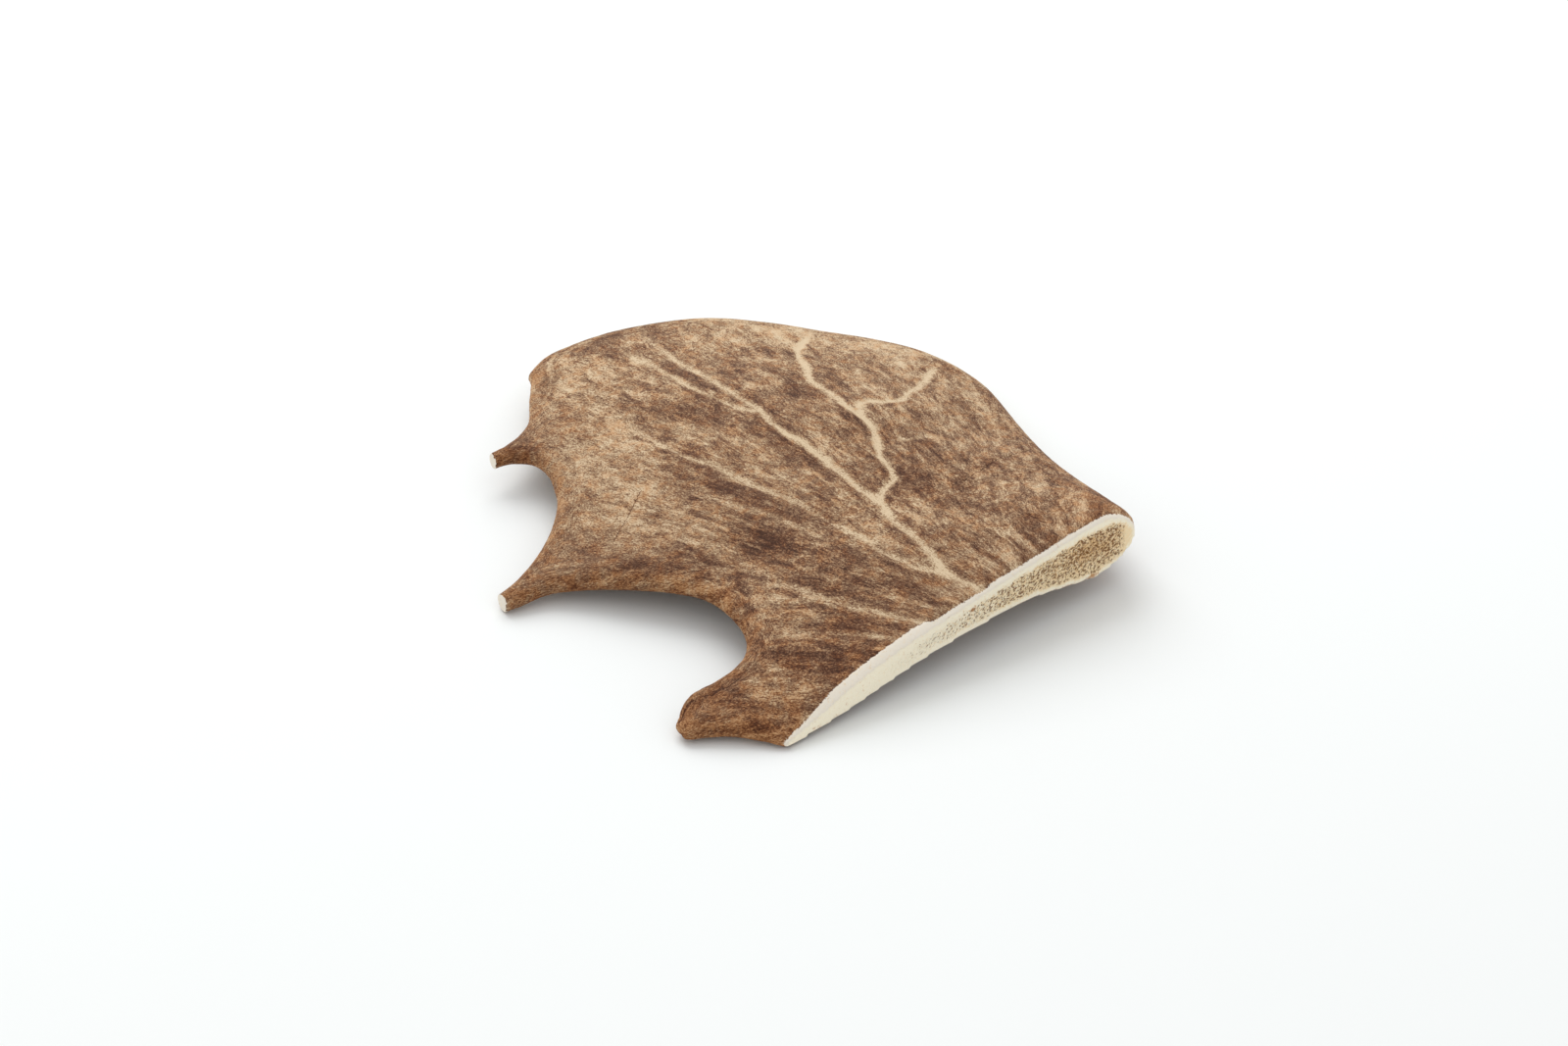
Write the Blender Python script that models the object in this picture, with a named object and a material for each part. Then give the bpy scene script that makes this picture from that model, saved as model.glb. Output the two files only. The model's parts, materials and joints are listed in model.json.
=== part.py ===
"""Sawn piece of a fallow deer's palmate antler: the broad palm with what is left of three tines.

The palm lies with its convex side up. It rests on the cut tip of its lower tine, on the thin
corner of the saw cut and on the lobe of its far edge. Design values are millimetres: X runs along
the saw cut from its thin corner to its thick end, Y runs from the cut into the palm, Z is up.
The finished solid is moved so that the middle of its footprint is the origin.
"""
import bpy
import bmesh
import numpy as np
from mathutils import Vector
from mathutils.geometry import delaunay_2d_cdt

MM = 0.001

# The grown edge, anticlockwise seen from above, as smooth stretches between corners.
THICK_MARGIN = [(108, 0), (109.8, 2), (111, 7.5), (113, 14.5), (115.5, 23), (120.5, 38.5),
                (126.5, 53.5), (133.5, 69.5), (138.5, 82), (140.3, 93), (140.3, 103)]
BACK_EDGE = [(138.8, 111.5), (134.5, 119.2), (130, 125.8), (122.8, 133.6), (116.5, 142), (108.8, 150.7),
             (99, 157.5), (86.5, 162), (74.5, 164), (62, 164), (55, 162.8), (47.5, 158.8)]
NOTCH = [(47.5, 158.8), (46.3, 155.8), (39.8, 148), (33.5, 140), (27, 135.6), (21, 133.8), (16.3, 133.4)]
UPPER_BAY = [(15, 129.5), (20, 127.8), (23, 124), (22, 116.5), (19, 110.3), (15.7, 105),
             (9.3, 98.7), (3.6, 94.6), (-2.2, 91.7), (-8.5, 89.6), (-15, 88.6)]
LOWER_BAY = [(-15.8, 84.1), (-11, 82.5), (-5, 80.8), (1.4, 74.2), (8.2, 64.5), (13.6, 56), (16.4, 49),
             (16.4, 42), (14.7, 34.5), (11.8, 29), (7.7, 25.4), (2.2, 24), (-3.8, 24.2),
             (-8.5, 25), (-12.3, 23.4)]
BROKEN_END = [(-12.3, 23.4), (-15.9, 21), (-16.5, 18.6), (-17.1, 16)]
THIN_SIDE = [(-17.1, 16), (-13.7, 14), (-8.7, 9.8), (-4.5, 4.9), (-0.6, 0)]

# Stations of the palm: x, y, height of its middle surface, thickness, width of its edge rounding.
STATIONS = {
    "cut_thin_corner": (0, 0, 1.3, 2.4, 1.8),
    "cut_near_corner": (16, 0, 5.2, 6.6, 4.6),
    "cut_first_third": (38, 0, 10.1, 8.6, 6.6),
    "cut_middle": (60, 0, 12.6, 9.4, 7.0),
    "cut_swelling": (79, 0, 14.2, 12.6, 9.4),
    "cut_thickest": (93, 0, 13.8, 16.8, 12.6),
    "cut_thick_end": (108, 0, 13.8, 16.4, 12.2),
    "margin_low": (113, 20, 11.0, 13.0, 9.8),
    "margin_middle": (118, 40, 8.0, 10.4, 7.8),
    "margin_high": (128, 66, 5.2, 8.2, 6.2),
    "lobe": (138, 96, 3.6, 7.2, 5.4),
    "lobe_back": (129, 124, 4.0, 6.8, 5.1),
    "back_right": (110, 151, 5.8, 6.4, 4.8),
    "back_middle": (88, 163, 7.2, 6.2, 4.6),
    "back_left": (60, 165, 8.4, 6.0, 4.5),
    "spur": (48, 159, 8.8, 4.6, 3.0),
    "notch": (37, 143, 9.0, 5.4, 4.0),
    "upper_tine_tip": (15.5, 131.5, 8.8, 3.9, 2.1),
    "upper_tine_root": (27, 129, 9.2, 5.2, 3.8),
    "upper_bay": (18.5, 108, 8.6, 6.2, 4.6),
    "upper_bay_end": (3, 92, 6.4, 6.0, 4.2),
    "lower_tine_tip": (-16, 86.3, 2.25, 4.4, 2.4),
    "lower_tine_root": (-4, 85, 4.6, 5.6, 3.8),
    "lower_bay": (7, 63, 8.0, 6.6, 5.0),
    "lower_bay_middle": (17, 42, 9.2, 6.8, 5.1),
    "lower_bay_end": (12, 27, 8.4, 6.6, 5.0),
    "stump_upper_side": (-5, 22, 5.4, 6.0, 4.4),
    "stump_tip": (-16, 18, 2.4, 4.4, 2.6),
    "stump_lower_side": (-8, 8, 3.0, 4.4, 3.2),
    "palm_front": (45, 32, 13.2, 8.0, 6.0),
    "palm_crown": (72, 60, 15.2, 7.2, 5.4),
    "palm_left": (35, 85, 12.6, 6.6, 5.0),
    "palm_right": (108, 82, 11.4, 7.6, 5.7),
    "palm_back": (75, 125, 12.0, 6.2, 4.6),
}
STATION_SLACK = 30.0

# The sanded bevel on the saw cut's upper edge, the slight one below, and their most as a share of
# the half thickness; the furrow along the stump's upper side.
BEVEL_RUN = 2.0
BEVEL_DROP = 1.3
LOWER_BEVEL_RUN = 0.7
LOWER_BEVEL_DROP = 0.4
BEVEL_LIMIT = 0.45
FURROW = [(3, 21.2), (-5, 20.6), (-11, 20.2), (-15, 19.2)]
FURROW_DEPTH = 0.8
FURROW_WIDTH = 1.3

# Slow swellings of the upper side: height, and the direction and length of each wave.
SWELLS = [(0.22, 20, 47), (0.18, 75, 31), (0.12, 130, 23)]

# The net that the solid is built on: steps along the edge, rings that follow it as shares of the
# edge rounding, each with its least spacing, the middles of the tines, and a lattice for the rest.
EDGE_STEP = 2.4
NOTCH_STEP = 1.9
THIN_SIDE_STEP = 1.7
CURVE_FINENESS = 24
RING_SHARES = (0.05, 0.18, 0.42, 0.80)
RING_GAPS = (0.28, 0.44, 0.72, 1.2)
RING_FIT = 0.85
CUT_ROWS = (0.7, 2.0)
ROW_GAP = 0.9
TINE_MIDDLES = [((15.65, 131.45), (26, 130.3)), ((-15.4, 86.35), (-3, 84.6)), ((-16, 18.4), (-8, 17))]
TINE_MIDDLE_POINTS = 7
TINE_MIDDLE_GAP = 0.7
PALM_LATTICE = {"step": 4.0, "low": (-20, 0), "high": (145, 170)}
STUMP_LATTICE = {"step": 1.9, "low": (-20, 0), "high": (5, 26)}
LATTICE_CLEARANCE = 0.4
LATTICE_GAP = 0.56
MERGE = 0.002

ANTLER_COLOUR = (0.33, 0.21, 0.13, 1.0)
ANTLER_ROUGHNESS = 0.62


def clear_scene():
    for old in list(bpy.data.objects):
        bpy.data.objects.remove(old, do_unlink=True)


def spaced(points, step):
    """Points at an even step along a smooth curve through the given ones, both ends kept."""
    key = np.array(points, float)
    before = 2 * key[0] - key[1]
    after = 2 * key[-1] - key[-2]
    padded = np.vstack([before, key, after])
    fine = []
    for a, b, c, d in zip(padded, padded[1:], padded[2:], padded[3:]):
        for t in np.linspace(0, 1, CURVE_FINENESS, endpoint=False):
            fine.append(b + 0.5 * (c - a) * t + (a - 2.5 * b + 2 * c - 0.5 * d) * t ** 2
                        + (1.5 * b - 0.5 * a - 1.5 * c + 0.5 * d) * t ** 3)
    fine = np.vstack([fine, key[-1]])
    run = np.concatenate([[0], np.cumsum(np.linalg.norm(np.diff(fine, axis=0), axis=1))])
    stops = np.linspace(0, run[-1], max(2, round(run[-1] / step) + 1))
    return np.column_stack([np.interp(stops, run, fine[:, 0]), np.interp(stops, run, fine[:, 1])])


def distance_to(line, points):
    """Shortest distance from each point to a chain of straight segments."""
    best = np.full(len(points), 1e9)
    for a, b in zip(line, line[1:]):
        along = b - a
        t = np.clip((points - a) @ along / (along @ along), 0, 1)
        best = np.minimum(best, np.linalg.norm(points - a - t[:, None] * along, axis=1))
    return best


def distance_to_edge(grown, points):
    return np.min([distance_to(line, points) for line in grown], axis=0)


def inside(loop, points):
    """True for the points that lie within a closed outline."""
    hits = np.zeros(len(points), bool)
    for a, b in zip(loop, np.roll(loop, -1, axis=0)):
        crosses = (a[1] > points[:, 1]) != (b[1] > points[:, 1])
        if crosses.any():
            at = a[0] + (points[:, 1] - a[1]) * (b[0] - a[0]) / (b[1] - a[1])
            hits ^= crosses & (points[:, 0] < at)
    return hits


def plate_kernel(distance_squared):
    safe = np.maximum(distance_squared, 1e-9)
    return 0.5 * safe * np.log(safe)


class Stations:
    """A thin bent plate through the stations: gives middle height, thickness and rounding anywhere."""

    def __init__(self):
        table = np.array(list(STATIONS.values()), float)
        self.places = table[:, :2]
        count = len(table)
        system = np.zeros((count + 3, count + 3))
        system[:count, :count] = self.bend(self.places) + STATION_SLACK * np.eye(count)
        system[:count, count] = 1
        system[:count, count + 1:] = self.places
        system[count:, :count] = system[:count, count:].T
        self.weights = np.linalg.solve(system, np.vstack([table[:, 2:], np.zeros((3, 3))]))

    def bend(self, points):
        gaps = points[:, None] - self.places[None]
        return plate_kernel((gaps ** 2).sum(axis=2))

    def at(self, points):
        flat = np.column_stack([np.ones(len(points)), points])
        count = len(self.places)
        return (self.bend(points) @ self.weights[:count] + flat @ self.weights[count:]).T


def edge_loop():
    """The closed outline, and its grown stretches, which are rounded; the sawn ones stay flat."""
    margin = spaced(THICK_MARGIN + BACK_EDGE, EDGE_STEP)
    notch = spaced(NOTCH, NOTCH_STEP)
    upper_bay = spaced(UPPER_BAY, EDGE_STEP)
    lower_bay = spaced(LOWER_BAY, EDGE_STEP)
    broken_end = np.array(BROKEN_END, float)
    thin_side = spaced(THIN_SIDE, THIN_SIDE_STEP)
    far = np.vstack([margin, notch[1:]])
    near = np.vstack([lower_bay, broken_end[1:], thin_side[1:]])
    return far, upper_bay, near


def across_cut(start, end, rounding):
    """Points along a sawn edge, close together where the section turns at its two ends."""
    length = np.linalg.norm(end - start)
    near_start, near_end = (np.array(RING_SHARES) * width / length for width in rounding)
    left = near_start[near_start < 0.5 - RING_SHARES[0]]
    right = 1 - near_end[near_end < 0.5 - RING_SHARES[0]][::-1]
    middle_count = max(1, round((right[0] - left[-1]) * length / EDGE_STEP) - 1)
    middle = np.linspace(left[-1], right[0], middle_count + 2)[1:-1]
    stops = np.concatenate([left, middle, right])
    return start + stops[:, None] * (end - start)


def row_ends(loop, y):
    """Where a line parallel to the saw cut enters and leaves the outline."""
    found = []
    for a, b in zip(loop, np.roll(loop, -1, axis=0)):
        if (a[1] - y) * (b[1] - y) < 0:
            found.append(a[0] + (y - a[1]) * (b[0] - a[0]) / (b[1] - a[1]))
    return min(found), max(found)


def inner_rings(loop, grown, stations):
    """The grown edge moved inwards in steps, closest together where the section turns."""
    edge = np.vstack(grown)
    towards = np.vstack([np.gradient(line, axis=0) for line in grown])
    inward = np.column_stack([-towards[:, 1], towards[:, 0]])
    inward /= np.linalg.norm(inward, axis=1)[:, None]
    rounding = stations.at(edge)[2]
    rings = []
    for share in RING_SHARES:
        moved = edge + inward * (share * rounding)[:, None]
        clear = distance_to_edge(grown, moved) > RING_FIT * share * rounding
        rings.append(moved[clear & inside(loop, moved) & (moved[:, 1] > CUT_ROWS[-1] + ROW_GAP)])
    return rings


def lattice(loop, grown, stations, step, low, high):
    """Evenly staggered points inside the palm, clear of the rings and of the rows at the saw cut."""
    rows = np.arange(low[1], high[1], step * np.sqrt(0.75))
    places = np.array([(x + (i % 2) * step / 2, y) for i, y in enumerate(rows)
                       for x in np.arange(low[0], high[0], step)])
    clearance = LATTICE_CLEARANCE * step
    rings_end = RING_SHARES[-1] * stations.at(places)[2]
    clear = distance_to_edge(grown, places) > rings_end + clearance
    return places[clear & inside(loop, places) & (places[:, 1] > CUT_ROWS[-1] + clearance)]


def tine_middles():
    """Points along the middle of each tine, where the rings from its two sides would cross."""
    return np.vstack([np.linspace(tip, root, TINE_MIDDLE_POINTS)[1:] for tip, root in TINE_MIDDLES])


def well_spaced(points, fixed, gap):
    """The points that are no closer than the gap to those already kept."""
    kept = list(fixed)
    chosen = []
    for p in points:
        if np.min(np.linalg.norm(np.array(kept) - p, axis=1)) > gap:
            kept.append(p)
            chosen.append(p)
    return chosen


def build_net(stations):
    """The plan of the palm as triangles, and the grown stretches of its edge."""
    far, upper_bay, near = edge_loop()
    grown = [far, upper_bay, near]
    rounding = [stations.at(np.array([line[0], line[-1]]))[2] for line in grown]
    upper_tip = across_cut(far[-1], upper_bay[0], (rounding[0][1], rounding[1][0]))
    lower_tip = across_cut(upper_bay[-1], near[0], (rounding[1][1], rounding[2][0]))
    saw_cut = across_cut(near[-1], far[0], (rounding[2][1], rounding[0][0]))
    loop = np.vstack([far, upper_tip, upper_bay, lower_tip, near, saw_cut])
    points = list(loop)
    shares = (saw_cut[:, 0] - near[-1][0]) / (far[0][0] - near[-1][0])
    for y in CUT_ROWS:
        left, right = row_ends(loop, y)
        points += [np.array([left + share * (right - left), y]) for share in shares]
    for ring, gap in zip(inner_rings(loop, grown, stations), RING_GAPS):
        points += well_spaced(ring, points, gap)
    points += well_spaced(tine_middles(), points, TINE_MIDDLE_GAP)
    for part in (STUMP_LATTICE, PALM_LATTICE):
        points += well_spaced(lattice(loop, grown, stations, **part), points, LATTICE_GAP * part["step"])
    outline = list(range(len(loop)))
    plan = [Vector((float(x), float(y))) for x, y in points]
    places, _, triangles, *_ = delaunay_2d_cdt(plan, [], [outline], 1, 1e-5)
    return np.array(places), triangles, grown


def swell(points):
    """Slow unevenness of the grown surface."""
    total = np.zeros(len(points))
    for height, direction, length in SWELLS:
        heading = np.array([np.cos(np.radians(direction)), np.sin(np.radians(direction))])
        total += height * np.sin(2 * np.pi * (points @ heading) / length)
    return total


def sheet_heights(points, grown, stations):
    """Heights of the upper and the lower sheet over each point of the net."""
    middle, thickness, rounding = stations.at(points)
    depth_in = np.clip(distance_to_edge(grown, points) / rounding, 0, 1)
    half = thickness / 2 * np.sqrt(1 - (1 - depth_in) ** 2)
    furrow = FURROW_DEPTH * np.exp(-(distance_to(np.array(FURROW, float), points) / FURROW_WIDTH) ** 2)
    upper = half + (swell(points) - furrow) * depth_in
    upper -= np.minimum(BEVEL_DROP, BEVEL_LIMIT * half) * np.clip(1 - points[:, 1] / BEVEL_RUN, 0, 1)
    lower_drop = np.minimum(LOWER_BEVEL_DROP, BEVEL_LIMIT * half)
    lower = half - lower_drop * np.clip(1 - points[:, 1] / LOWER_BEVEL_RUN, 0, 1)
    return middle + upper, middle - lower


def build_palm():
    """The net extruded once, its two sheets lifted into place and merged along the grown edge."""
    stations = Stations()
    places, triangles, grown = build_net(stations)
    bm = bmesh.new()
    lower = [bm.verts.new((x, y, 0)) for x, y in places]
    for triangle in triangles:
        bm.faces.new([lower[i] for i in triangle])
    made = bmesh.ops.extrude_face_region(bm, geom=bm.faces[:])["geom"]
    upper = {v for v in made if isinstance(v, bmesh.types.BMVert)}
    bm.verts.ensure_lookup_table()
    plan = np.array([v.co.xy for v in bm.verts])
    top, bottom = sheet_heights(plan, grown, stations)
    for v, high, low in zip(bm.verts, top, bottom):
        v.co.z = high if v in upper else low
    bmesh.ops.remove_doubles(bm, verts=bm.verts[:], dist=MERGE)
    bmesh.ops.dissolve_degenerate(bm, edges=bm.edges[:], dist=MERGE)
    bmesh.ops.triangulate(bm, faces=bm.faces[:])
    bmesh.ops.recalc_face_normals(bm, faces=bm.faces[:])
    return bm


def stand_on_origin(bm):
    """Move the solid so that the middle of its footprint is the origin, and turn it to metres."""
    corners = np.array([v.co for v in bm.verts])
    low, high = corners.min(axis=0), corners.max(axis=0)
    shift = Vector((-(low[0] + high[0]) / 2, -(low[1] + high[1]) / 2, -low[2]))
    bmesh.ops.translate(bm, verts=bm.verts[:], vec=shift)
    bmesh.ops.scale(bm, verts=bm.verts[:], vec=(MM, MM, MM))


def antler_material():
    material = bpy.data.materials.new("antler")
    material.use_nodes = True
    shader = material.node_tree.nodes["Principled BSDF"]
    shader.inputs["Base Color"].default_value = ANTLER_COLOUR
    shader.inputs["Roughness"].default_value = ANTLER_ROUGHNESS
    shader.inputs["Metallic"].default_value = 0.0
    return material


def main():
    clear_scene()
    bm = build_palm()
    stand_on_origin(bm)
    mesh = bpy.data.meshes.new("antler_palm")
    bm.to_mesh(mesh)
    bm.free()
    mesh.materials.append(antler_material())
    mesh.shade_smooth()
    mesh.set_sharp_from_angle(angle=np.radians(38))
    palm = bpy.data.objects.new("antler_palm", mesh)
    bpy.context.scene.collection.objects.link(palm)


main()
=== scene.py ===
"""A sawn piece of fallow deer antler palm: its bark, its blood-vessel furrows and its sawn bone."""

import json
import math

import bpy
import numpy as np
from bpy.props import FloatProperty, FloatVectorProperty, PointerProperty
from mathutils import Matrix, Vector, noise
from mathutils.kdtree import KDTree

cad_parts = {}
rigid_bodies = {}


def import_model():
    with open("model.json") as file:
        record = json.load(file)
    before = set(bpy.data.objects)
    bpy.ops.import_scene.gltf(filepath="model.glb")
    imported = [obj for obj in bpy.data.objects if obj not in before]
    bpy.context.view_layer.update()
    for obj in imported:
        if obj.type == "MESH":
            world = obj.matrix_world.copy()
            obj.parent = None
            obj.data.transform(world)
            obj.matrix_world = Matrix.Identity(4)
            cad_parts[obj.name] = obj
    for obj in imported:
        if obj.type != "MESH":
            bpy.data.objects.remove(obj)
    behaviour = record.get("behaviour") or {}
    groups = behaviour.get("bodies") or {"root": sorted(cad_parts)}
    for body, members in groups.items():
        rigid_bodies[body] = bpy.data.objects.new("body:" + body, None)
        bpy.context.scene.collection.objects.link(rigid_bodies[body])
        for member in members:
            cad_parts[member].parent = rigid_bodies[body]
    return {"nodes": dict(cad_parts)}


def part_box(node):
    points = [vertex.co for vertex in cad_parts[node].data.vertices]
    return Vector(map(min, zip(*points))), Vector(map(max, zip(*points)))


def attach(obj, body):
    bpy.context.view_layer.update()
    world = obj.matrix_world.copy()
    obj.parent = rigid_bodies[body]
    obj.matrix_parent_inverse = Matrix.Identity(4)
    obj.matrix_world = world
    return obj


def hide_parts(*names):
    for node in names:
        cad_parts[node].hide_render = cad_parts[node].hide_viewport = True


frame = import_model()

bl_info = {
    "name": "Sawn antler palm",
    "version": (1, 0, 0),
    "blender": (4, 5, 0),
    "location": "View3D > Sidebar > Antler",
    "description": "Adds a sawn piece of fallow deer antler palm and a pale studio",
    "category": "Add Mesh",
}

MM = 0.001
SOLID = "antler_palm"

# Where the saw cut lies, in millimetres.
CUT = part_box(SOLID)[0].y / MM

# The palm's edge in millimetres, anticlockwise seen from above, from the thick end of the saw cut
# round to its thin corner.
EDGE = [
    (46.3, -82.1), (48.1, -80.1), (49.3, -74.6), (51.3, -67.6), (53.8, -59.1), (58.8, -43.6),
    (64.8, -28.6), (71.8, -12.6), (76.8, -0.1), (78.6, 10.9), (78.6, 20.9), (77.1, 29.4),
    (72.8, 37.1), (68.3, 43.7), (61.1, 51.5), (54.8, 59.9), (47.1, 68.6), (37.3, 75.4),
    (24.8, 79.9), (12.8, 81.9), (0.3, 81.9), (-6.7, 80.7), (-14.2, 76.7), (-15.4, 73.7),
    (-21.9, 65.9), (-28.2, 57.9), (-34.7, 53.5), (-40.7, 51.7), (-45.4, 51.3), (-46.7, 47.4),
    (-41.7, 45.7), (-38.7, 41.9), (-39.7, 34.4), (-42.7, 28.2), (-46.0, 22.9), (-52.4, 16.6),
    (-58.1, 12.5), (-63.9, 9.6), (-70.2, 7.5), (-76.7, 6.5), (-77.5, 2.0), (-72.7, 0.4),
    (-66.7, -1.3), (-60.3, -7.9), (-53.5, -17.6), (-48.1, -26.1), (-45.3, -33.1), (-45.3, -40.1),
    (-47.0, -47.6), (-49.9, -53.1), (-54.0, -56.7), (-59.5, -58.1), (-65.5, -57.9), (-70.2, -57.1),
    (-74.0, -58.7), (-77.6, -61.1), (-78.2, -63.5), (-78.8, -66.1), (-75.4, -68.1), (-70.4, -72.3),
    (-66.2, -77.2), (-62.3, -82.1),
]

# Tips of the spur, the upper tine, the lower tine and the stump.
POINTS_OF_EDGE = [(-14.2, 76.7), (-46.0, 49.3), (-77.1, 4.3), (-77.9, -63.0)]

# The place beyond the saw cut from which the palm's fibres fan out.
FAN_MIDDLE = np.array((0.0, -121.0))

# How far fibre places are stretched: along the edge, and near to the saw cut and far from it.
EDGE_FIBRES = (0.40, 1.0, 1.0)
NEAR_FIBRES = (0.52, 62.0, 1.0)
FAR_FIBRES = (0.52, 125.0, 1.0)

# Rounds of smoothing on the broad palm and on the whole, and cuts of each face of the saw cut.
BROAD_ROUNDS = 24
WHOLE_ROUNDS = 4
FACE_CUTS = 3

# Sawn ends of the two tines: middle and outward direction.
TINE_ENDS = {
    "upper": ((-46.05, 49.35, 8.8), (-0.978, 0.208, 0.0)),
    "lower": ((-77.1, 4.25, 2.25), (-0.985, 0.175, 0.0)),
}

# How far the flat cut stands back from each tine's end, and how far round it the end reaches.
TINE_TRIM = 0.5
TINE_REACH = 5.0

# The saw cut's thick end, and how thick the compact bone is at that end and along the cut.
THICK_END = 46.2
END_RIND = 1.2
UPPER_RIND = 1.35
LOWER_RIND = 1.0

# Lean of the pores in radians, and their length in widths.
PORE_LEAN = 0.64
PORE_LENGTH = 2.3

# The most that the surface is carved.
DEEPEST = 1.0 * MM

# Furrows of the blood vessels: strength, width, length over which the end fades, and route.
VESSELS = [
    # main
    (1.0, 2.5, 0, [
        (-2, -84), (-3, -79), (-4, -75), (-4, -69), (-2, -64), (-1, -58), (0, -52), (1, -46),
        (4, -39), (4, -32), (5, -26), (6, -20), (7, -14), (8, -5), (8, 1), (9, 8), (11, 14)]),
    # main right
    (0.75, 2.4, 16, [
        (11, 14), (12, 22), (13, 31), (14, 39), (14, 47), (17, 62), (19, 71)]),
    # main left
    (0.66, 2.3, 18, [
        (11, 14), (9, 15), (8, 19), (8, 24), (7, 29), (7, 36), (8, 43), (9, 53), (9, 63), (9, 74)]),
    # second
    (1.0, 2.5, 0, [
        (4, -38), (8, -35), (14, -33), (16, -29), (18, -23), (23, -17), (27, -10), (28, -5)]),
    # second left
    (0.95, 2.5, 8, [
        (28, -5), (29, 2), (31, 11), (33, 20), (39, 30), (45, 39), (56, 47)]),
    # second right
    (0.85, 2.3, 12, [
        (28, -5), (33, 1), (36, 1), (39, -1), (44, -2), (49, 1), (54, 3), (62, 8), (72, 14)]),
    # faint right
    (0.42, 2.0, 10, [
        (28, -19), (31, -20), (35, -21), (39, -24), (41, -29)]),
    # third
    (0.68, 2.1, 22, [
        (-5, -71), (-5, -69), (-8, -65), (-9, -61), (-10, -57), (-10, -52), (-9, -47),
        (-10, -43), (-11, -34), (-11, -25), (-12, -18), (-14, -8), (-14, 1), (-16, 12),
        (-16, 21), (-16, 31)]),
    # faint middle
    (0.4, 2.2, 22, [
        (-16, -40), (-18, -30), (-20, -20), (-23, -10), (-25, -3), (-29, 5)]),
    # fourth
    (0.55, 1.9, 16, [
        (-19, -80), (-23, -73), (-27, -65), (-30, -56), (-32, -50), (-35, -43), (-38, -39)]),
    # fifth
    (0.5, 2.0, 12, [
        (-27, -81), (-30, -75), (-35, -68), (-41, -63)]),
    # near cut
    (0.55, 1.8, 8, [
        (15, -84), (16, -79), (16, -76), (16, -70)]),
]

# Hairline cracks and dark streaks of the bark.
CRACKS = [
    (0.16, [(26, -44), (34, -42), (40, -40), (46, -39), (55, -38)]),
    (0.16, [(-32, 7), (-40, 2), (-49, -3)]),
    (0.18, [(-68, -1), (-65, -7), (-59, -16), (-53, -25)]),
    (0.16, [(44, -54), (41, -63)]),
    (0.16, [(25, -66), (25, -74)]),
    (0.5, [(-77.5, -61.5), (-75, -60.5), (-71, -60)]),
    (0.2, [(-68, -62), (-62, -63), (-57, -62)]),
    (0.3, [(-72, -72), (-68, -75), (-65.5, -78)]),
]

# Dents of the broken stump: middle, reach and depth in millimetres.
DENTS = [((-76.3, -60.2, 5.0), 1.5, 0.9), ((-77.2, -64.2, 2.0), 0.9, 0.5)]

# Clouds of the bark's tone: middle, reach across and along the fibres, and how much darker.
CLOUDS = [
    (-22, -2, 4, 10, 0.34), (-17, -13, 4, 10, 0.32), (-24, -32, 4, 10, 0.28), (-16, -49, 4, 10, 0.24),
    (-27, -40, 4, 9, 0.20), (-19, -59, 4, 9, 0.20), (-27, -51, 4, 8, 0.16), (17, -36, 4, 9, 0.18),
    (30, -26, 5, 9, 0.04), (11, -50, 4, 8, 0.16), (18, -77, 5, 5, 0.18), (-31, -70, 5, 8, 0.20),
    (-44, -66, 5, 9, 0.20), (-66, -62, 8, 6, 0.10), (2, 12, 3, 10, 0.28), (0, 24, 4, 9, 0.22),
    (1, -10, 3, 9, 0.20), (-4, -30, 3, 9, 0.18), (24, 14, 4, 10, 0.16), (-5, 40, 4, 9, 0.14),
    (-34, 13, 12, 15, -0.26), (-11, 55, 12, 18, -0.20), (-4, 68, 22, 12, -0.08), (48, 50, 20, 14, -0.44),
    (68, 22, 9, 18, -0.26), (57, 24, 12, 14, -0.12), (62, -8, 7, 26, -0.14), (-66, -62, 12, 10, 0.09),
    (-62, -66, 12, 14, 0.16), (-40, 47, 4, 5, 0.40), (-14, 72, 7, 6, 0.18), (-34, -72, 9, 8, 0.22),
    (38, -77, 9, 6, -0.16), (-28, 33, 16, 16, -0.16), (30, 62, 26, 12, -0.11), (-52, -22, 6, 26, 0.06),
    (-40, -2, 10, 10, -0.10), (2, 62, 9, 8, -0.16), (21, 46, 8, 8, -0.15), (40, 30, 9, 8, -0.11),
    (38, 0, 9, 10, -0.24), (54, -46, 8, 9, 0.02), (-17, -71, 5, 6, 0.22), (3, -32, 4, 8, 0.08),
    (-55, -66, 7, 7, -0.08), (-57, -1, 5, 6, 0.22), (-50, -12, 4, 7, 0.24), (-43, -24, 4, 7, 0.20),
    (-40, -36, 4, 7, 0.14), (-44, -74, 5, 5, 0.16),
]

# Places tanned a warmer brown: middle, reach and amount.
TANNED = [
    (-72, 5, 9, 0.12), (-44, 48, 7, 0.15), (-77, -62, 9, 0.32), (-64, -78, 8, 0.48),
    (48, -72, 12, 0.4), (56, -50, 9, 0.25), (-46, -38, 6, 0.3), (-14, 76, 5, 0.3),
    (-62, -64, 15, 0.15), (-38, -77, 13, 0.25), (40, -79, 8, 0.4),
]

# Brown stains along the lower side of the saw cut: middle across and up, reach and amount.
STAINS = [(32.5, 6.6, 3.6, 1.0), (24, 7.0, 2.4, 0.7), (-6, 13.6, 1.2, 0.9), (-36, 3.4, 1.0, 0.7),
          (13, 8.3, 1.6, 0.5), (-48, 2.6, 7.0, 0.35), (-54, 1.6, 3.0, 0.35)]


def shade(red, green, blue):
    """A measured screen colour as the linear colour that a shader wants."""
    linear = [(c / 255 / 12.92) if c <= 10.31 else ((c / 255 + 0.055) / 1.055) ** 2.4
              for c in (red, green, blue)]
    return (*linear, 1.0)


def colour(name, description, value):
    return FloatVectorProperty(name=name, description=description, default=value, size=4,
                               min=0.0, max=1.0, subtype="COLOR")


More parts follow.
